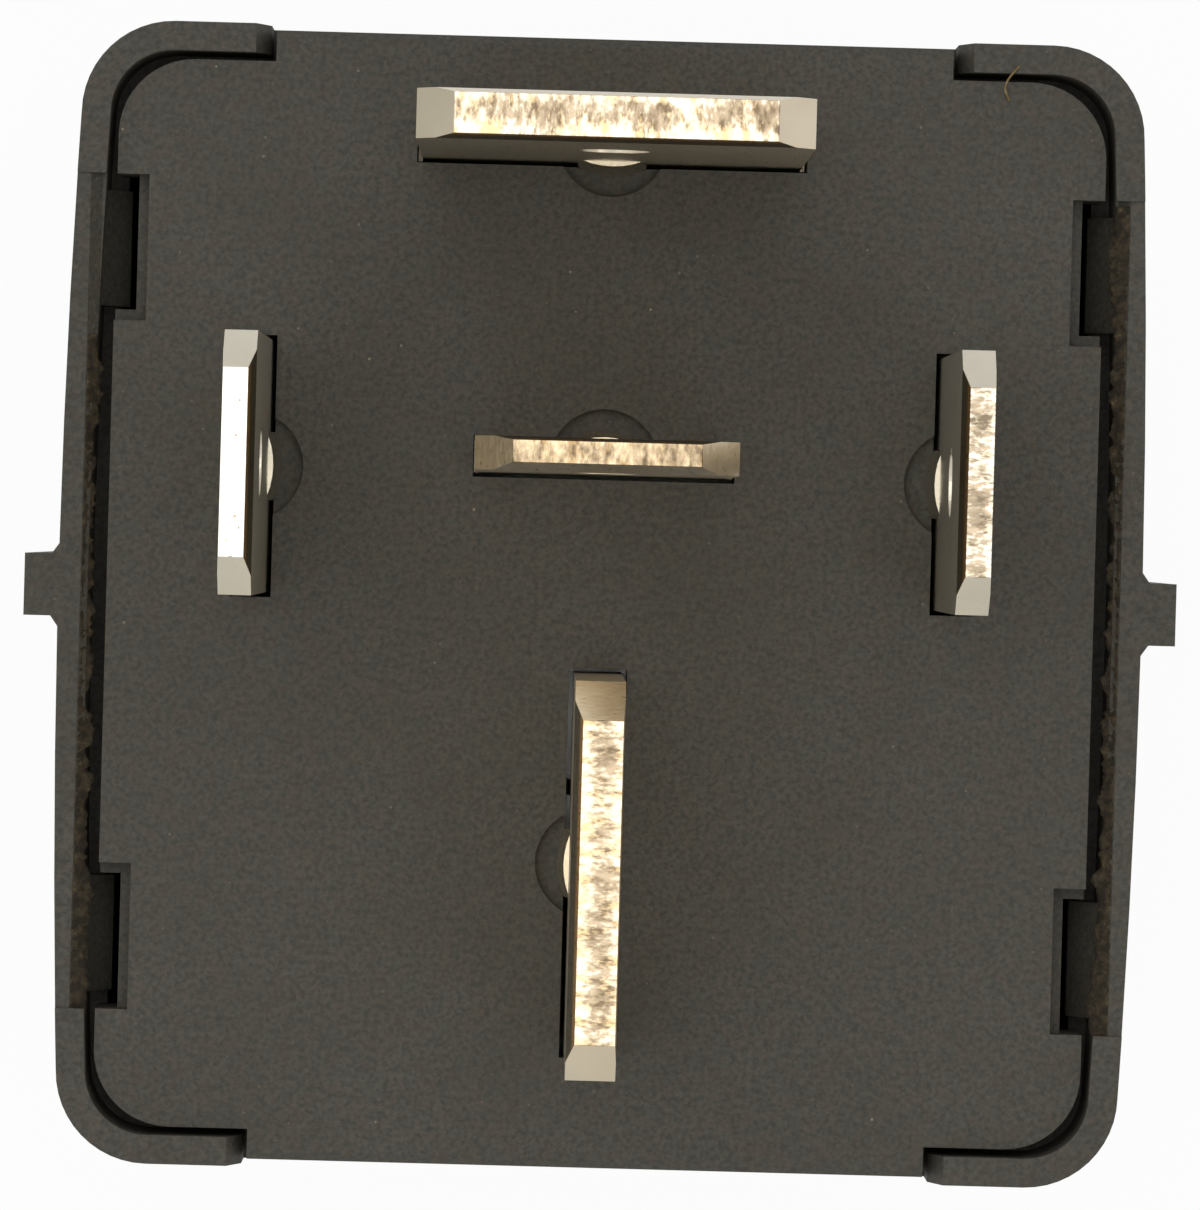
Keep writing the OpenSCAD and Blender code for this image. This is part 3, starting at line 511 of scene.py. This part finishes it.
def return_spring():
    low = released(0, HOOK_Y, PLATE_Z).z - WIRE_R - 0.06
    high = LUG_Z + 0.8 + WIRE_R + 0.06
    coil_r, per_turn = 0.48, 20
    z1, z2 = low + ARMATURE_T + 1.5, LUG_Z - 0.9
    turns = math.floor((z2 - z1) / 0.5)
    coil = [(coil_r * math.cos(WHOLE_TURN * i / per_turn),
             HOOK_Y + coil_r * math.sin(WHOLE_TURN * i / per_turn),
             z1 + (z2 - z1) * i / (turns * per_turn)) for i in range(turns * per_turn + 1)]
    hook_low = [(0, HOOK_Y + 0.75, low), (0, HOOK_Y + 0.25, low), (0, HOOK_Y + 0.06, low + 0.06),
                (0, HOOK_Y, low + 0.25), (0, HOOK_Y, z1 - 0.75), (0.2, HOOK_Y, z1 - 0.4)]
    hook_high = [(0.2, HOOK_Y, z2 + 0.35), (0, HOOK_Y, z2 + 0.65), (0, HOOK_Y, high - 0.25),
                 (0, HOOK_Y + 0.06, high - 0.06), (0, HOOK_Y + 0.25, high), (0, HOOK_Y + 0.75, high)]
    path = curve_through(hook_low + [coil[0]], 4)[:-1] + [Vector(p) for p in coil] \
        + curve_through([coil[-1]] + hook_high, 4)[1:]
    points, faces = [], []
    tube(path, WIRE_R, 8, points, faces)
    obj = piece("spring_coils", points, faces, spring_wire)
    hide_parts("return_spring")
    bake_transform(obj)


def crimp(points, faces, across, along, height, place):
    """Adds the pressed and welded end of the braid: a small pillow with rounded edges and the lay of
    the strands pressed into it."""
    columns, rows, edge = 12, 16, 0.16
    first = len(points)
    (x0, x1), (y0, y1), (z0, z1) = across, along, height
    for top in (1, -1):
        for i in range(columns + 1):
            for j in range(rows + 1):
                u, v = i / columns, j / rows
                rim = min(u, 1 - u) * (x1 - x0), min(v, 1 - v) * (y1 - y0)
                drop = sum(edge - math.sqrt(max(0, edge ** 2 - (edge - min(r, edge)) ** 2)) for r in rim)
                lay = 0.02 * math.sin(math.pi * 2 * (6 * v + 1.5 * u))
                half = (z1 - z0) / 2 - min(drop, edge) - 0.02 + (lay if min(rim) > 0.1 else 0)
                points.append(place((x0 + u * (x1 - x0), y0 + v * (y1 - y0), (z0 + z1) / 2 + top * half)))
    size = (columns + 1) * (rows + 1)

    def at(side, i, j):
        return first + side * size + i * (rows + 1) + j

    for side in (0, 1):
        for i in range(columns):
            for j in range(rows):
                faces.append((at(side, i, j), at(side, i + 1, j), at(side, i + 1, j + 1), at(side, i, j + 1)))
    ring = [(i, 0) for i in range(columns)] + [(columns, j) for j in range(rows)] \
        + [(i, rows) for i in range(columns, 0, -1)] + [(0, j) for j in range(rows, 0, -1)]
    for a, b in zip(ring, ring[1:] + ring[:1]):
        faces.append((at(0, *a), at(0, *b), at(1, *b), at(1, *a)))


BRAID_R = 0.75
YOKE_Z = YOKE_HIGH.z


def braid():
    foot_len, foot_y, wide_half = 8.45, (FOOT_LOW.y + FOOT_HIGH.y) / 2, YOKE_HIGH.x
    side_x, inner_z, former_z = -9.75, YOKE_Z - 1.5, WINDING_LOW.z - 0.9
    braid_y = 4.465
    top = released(0, braid_y, PLATE_Z + BRAID_R + 0.05)
    route = [(-foot_len + 0.95, foot_y, YOKE_Z - BRAID_R), (-foot_len, foot_y, YOKE_Z - BRAID_R),
             (-foot_len - 0.75, foot_y + 0.05, YOKE_Z - BRAID_R - 0.25), (side_x, foot_y + 0.3, YOKE_Z - 3),
             (side_x - 0.1, foot_y + 1.4, inner_z - 5), (side_x, foot_y + 3.2, former_z + 3.4),
             (side_x + 0.3, foot_y + 6.3, former_z + 0.2), (side_x + 1.5, foot_y + 9.4, top.z + 0.7),
             (-wide_half + 0.4, top.y - 0.5, top.z + 0.45), (-4, top.y, top.z + 0.12), (-2, top.y, top.z)]
    centre = curve_through(route, 14)
    rows = frames(centre)
    points, faces = [], []
    tube(centre, BRAID_R * 0.72, 12, points, faces)
    run = [0.0]
    for a, b in zip(centre, centre[1:]):
        run.append(run[-1] + (b - a).length)
    count, lay = 8, 5.2
    for hand in (1, -1):
        for n in range(count):
            path = []
            for (mid, u, v), s in zip(rows, run):
                a = WHOLE_TURN * (n / count + hand * s / lay)
                weave = 0.055 * math.cos(count * WHOLE_TURN * s / lay + hand * math.pi / 2 + math.pi * n)
                r = BRAID_R - 0.17 + weave
                path.append(mid + r * (math.cos(a) * u + math.sin(a) * v))
            tube(path, 0.11, 6, points, faces)
    crimp(points, faces, (-foot_len - 0.02, -foot_len + 1.9), (foot_y - 1.1, foot_y + 1.1),
          (YOKE_Z - 1.8 * BRAID_R, YOKE_Z - 0.01), lambda p: p)
    crimp(points, faces, (-2.6, -0.5), (braid_y - 1, braid_y + 1),
          (PLATE_Z + 0.05, PLATE_Z + 0.05 + 1.5 * BRAID_R), lambda p: released(*p))
    obj = piece("braid_weave", points, faces, bare_copper)
    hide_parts("braid")
    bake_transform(obj)


winding()
lead(1, "lead_start_wire", "coil_lead_start")
lead(-1, "lead_end_wire", "coil_lead_end")
return_spring()
braid()

# ---------- flash along the cover's rim ----------

MOUTH_X, SAG_R = 12.80, 264.6     # inner side of the rim at its middle, and the radius of its bow
RIM_TOP = RIM_Z - 0.1


def flash_strip(side):
    """Torn skin of plastic along the inner edge of one side wall, between the latches."""
    low, high = (-10.5, 10.3) if side > 0 else (-10.7, 6.4)
    stations = 340
    points, faces = [], []
    for i in range(stations + 1):
        y = low + (high - low) * i / stations
        mouth = MOUTH_X - y * y / (2 * SAG_R)

        def ragged(scale, row=0.0):
            return noise.fractal(Vector((y * scale, row, 5.3 * side)), 0.7, 2.0, 3)

        fade = min(1, (high - y) / 0.7, (y - low) / 0.7)
        reach = fade * min(max(0.11 + 0.16 * ragged(1.6) + 0.07 * ragged(7), 0.015), 0.26)
        lumps = [0.035 * fade * ragged(6, 3.1 + k) for k in range(5)]
        profile = [(12.985, RIM_TOP - 0.004), (12.91, RIM_TOP - 0.045 + lumps[0]),
                   (mouth + 0.05, RIM_TOP - 0.14 + lumps[1]), (mouth - 0.01, RIM_TOP - 0.2 + lumps[2]),
                   (mouth - 0.55 * reach, RIM_TOP - 0.24 + lumps[3]),
                   (mouth - reach, RIM_TOP - 0.3 + lumps[4]),
                   (mouth - reach, RIM_TOP - 0.34 + lumps[4]), (mouth - 0.3 * reach, RIM_TOP - 0.36),
                   (mouth + 0.06, RIM_TOP - 0.42), (12.985, RIM_TOP - 0.3)]
        points += [(side * x, y, z) for x, z in profile]
    count = 10
    for i in range(stations):
        for k in range(count):
            a, b = i * count + k, i * count + (k + 1) % count
            faces.append((a, b, b + count, a + count))
    faces.append(tuple(range(count)))
    faces.append(tuple(stations * count + k for k in range(count))[::-1])
    obj = piece("flash_right" if side > 0 else "flash_left", points, faces, torn)
    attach(obj, "cover")


# The third colour is a painted highlight on the lumps' highest tops.
torn = torn_plastic("torn_flash", (34, 29, 21), (64, 55, 41), (104, 90, 64))
# The whisker takes a lighter copy of the flash's colours: painted light for what the thin hair catches.
lighter_painted_wisp = torn_plastic("torn_wisp", (116, 98, 62), (150, 130, 88), (176, 156, 110))
for hand in (1, -1):
    flash_strip(hand)

# A whisker of the same flash stands in the corner beside blades 87 and 85
whisker_points, whisker_faces = [], []
tube(curve_through([(10.12, 13.76, 25.2), (9.98, 13.6, 25.38), (9.8, 13.36, 25.34), (9.74, 13.12, 25.26),
                    (9.86, 12.86, 25.1)], 6), 0.028, 6, whisker_points, whisker_faces)
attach(piece("flash_whisker", whisker_points, whisker_faces, lighter_painted_wisp), "cover")

# ---------- floor, light and camera ----------

world = bpy.data.worlds.new("studio")
bpy.context.scene.world = world
world.use_nodes = True
sky = world.node_tree
ambient = sky.nodes["Background"]
ambient.inputs["Color"].default_value = (1, 1, 1, 1)
ambient.inputs["Strength"].default_value = 0.4
seen = sky.nodes.new("ShaderNodeBackground")
seen.inputs["Color"].default_value = (1, 1, 1, 1)



def shown(net):
    """1 for rays from the camera, a glossy surface or a clear one, otherwise 0."""
    rays = net.nodes.new("ShaderNodeLightPath")
    last = rays.outputs["Is Camera Ray"]
    for kind in ("Is Glossy Ray", "Is Transmission Ray"):
        either = net.nodes.new("ShaderNodeMath")
        either.operation = "MAXIMUM"
        net.links.new(last, either.inputs[0])
        net.links.new(rays.outputs[kind], either.inputs[1])
        last = either.outputs[0]
    return last


pick = sky.nodes.new("ShaderNodeMixShader")
sky.links.new(shown(sky), pick.inputs[0])
sky.links.new(ambient.outputs[0], pick.inputs[1])
sky.links.new(seen.outputs[0], pick.inputs[2])
sky.links.new(pick.outputs[0], sky.nodes["World Output"].inputs["Surface"])


def area_light(name, place, size, power, tint=(1, 1, 1)):
    data = bpy.data.lights.new(name, "AREA")
    data.shape = "DISK"
    data.size = size
    data.energy = power
    data.color = tint
    obj = bpy.data.objects.new(name, data)
    bpy.context.scene.collection.objects.link(obj)
    obj.location = place
    obj.rotation_euler = (Vector((0, 0, 0.02)) - Vector(place)).to_track_quat("-Z", "Y").to_euler()


area_light("key", (-0.05, 0.07, 0.42), 0.5, 0.83, (1, 0.985, 0.955))
area_light("fill", (0.3, -0.22, 0.26), 0.22, 0.19)
area_light("back", (-0.26, -0.28, 0.2), 0.22, 0.13)

bpy.ops.mesh.primitive_plane_add(size=3, location=(0, 0, 0))
floor = bpy.context.object
floor.name = "floor"
paper = bpy.data.materials.new("paper")
paper.use_nodes = True
net = paper.node_tree
matt = net.nodes["Principled BSDF"]
matt.inputs["Base Color"].default_value = (0.86, 0.86, 0.85, 1)
matt.inputs["Roughness"].default_value = 0.9
glow = net.nodes.new("ShaderNodeEmission")
scaled = net.nodes.new("ShaderNodeMath")
scaled.operation = "MULTIPLY"
scaled.inputs[1].default_value = 0.95
net.links.new(shown(net), scaled.inputs[0])
mixed = net.nodes.new("ShaderNodeMixShader")
net.links.new(scaled.outputs[0], mixed.inputs[0])
net.links.new(matt.outputs[0], mixed.inputs[1])
net.links.new(glow.outputs[0], mixed.inputs[2])
net.links.new(mixed.outputs[0], net.nodes["Material Output"].inputs["Surface"])
floor.data.materials.append(paper)

camera_data = bpy.data.cameras.new("camera")
camera_data.sensor_width = 36
camera_data.lens = 251.4
camera_data.clip_start = 0.01
camera_data.clip_end = 10
camera = bpy.data.objects.new("camera", camera_data)
bpy.context.scene.collection.objects.link(camera)
camera.location = (-0.001455, 0.001889, 0.23596)
camera.rotation_euler = (-0.00918, -0.00664, 0.02774)
bpy.context.scene.camera = camera
bpy.context.scene.view_settings.view_transform = "Standard"
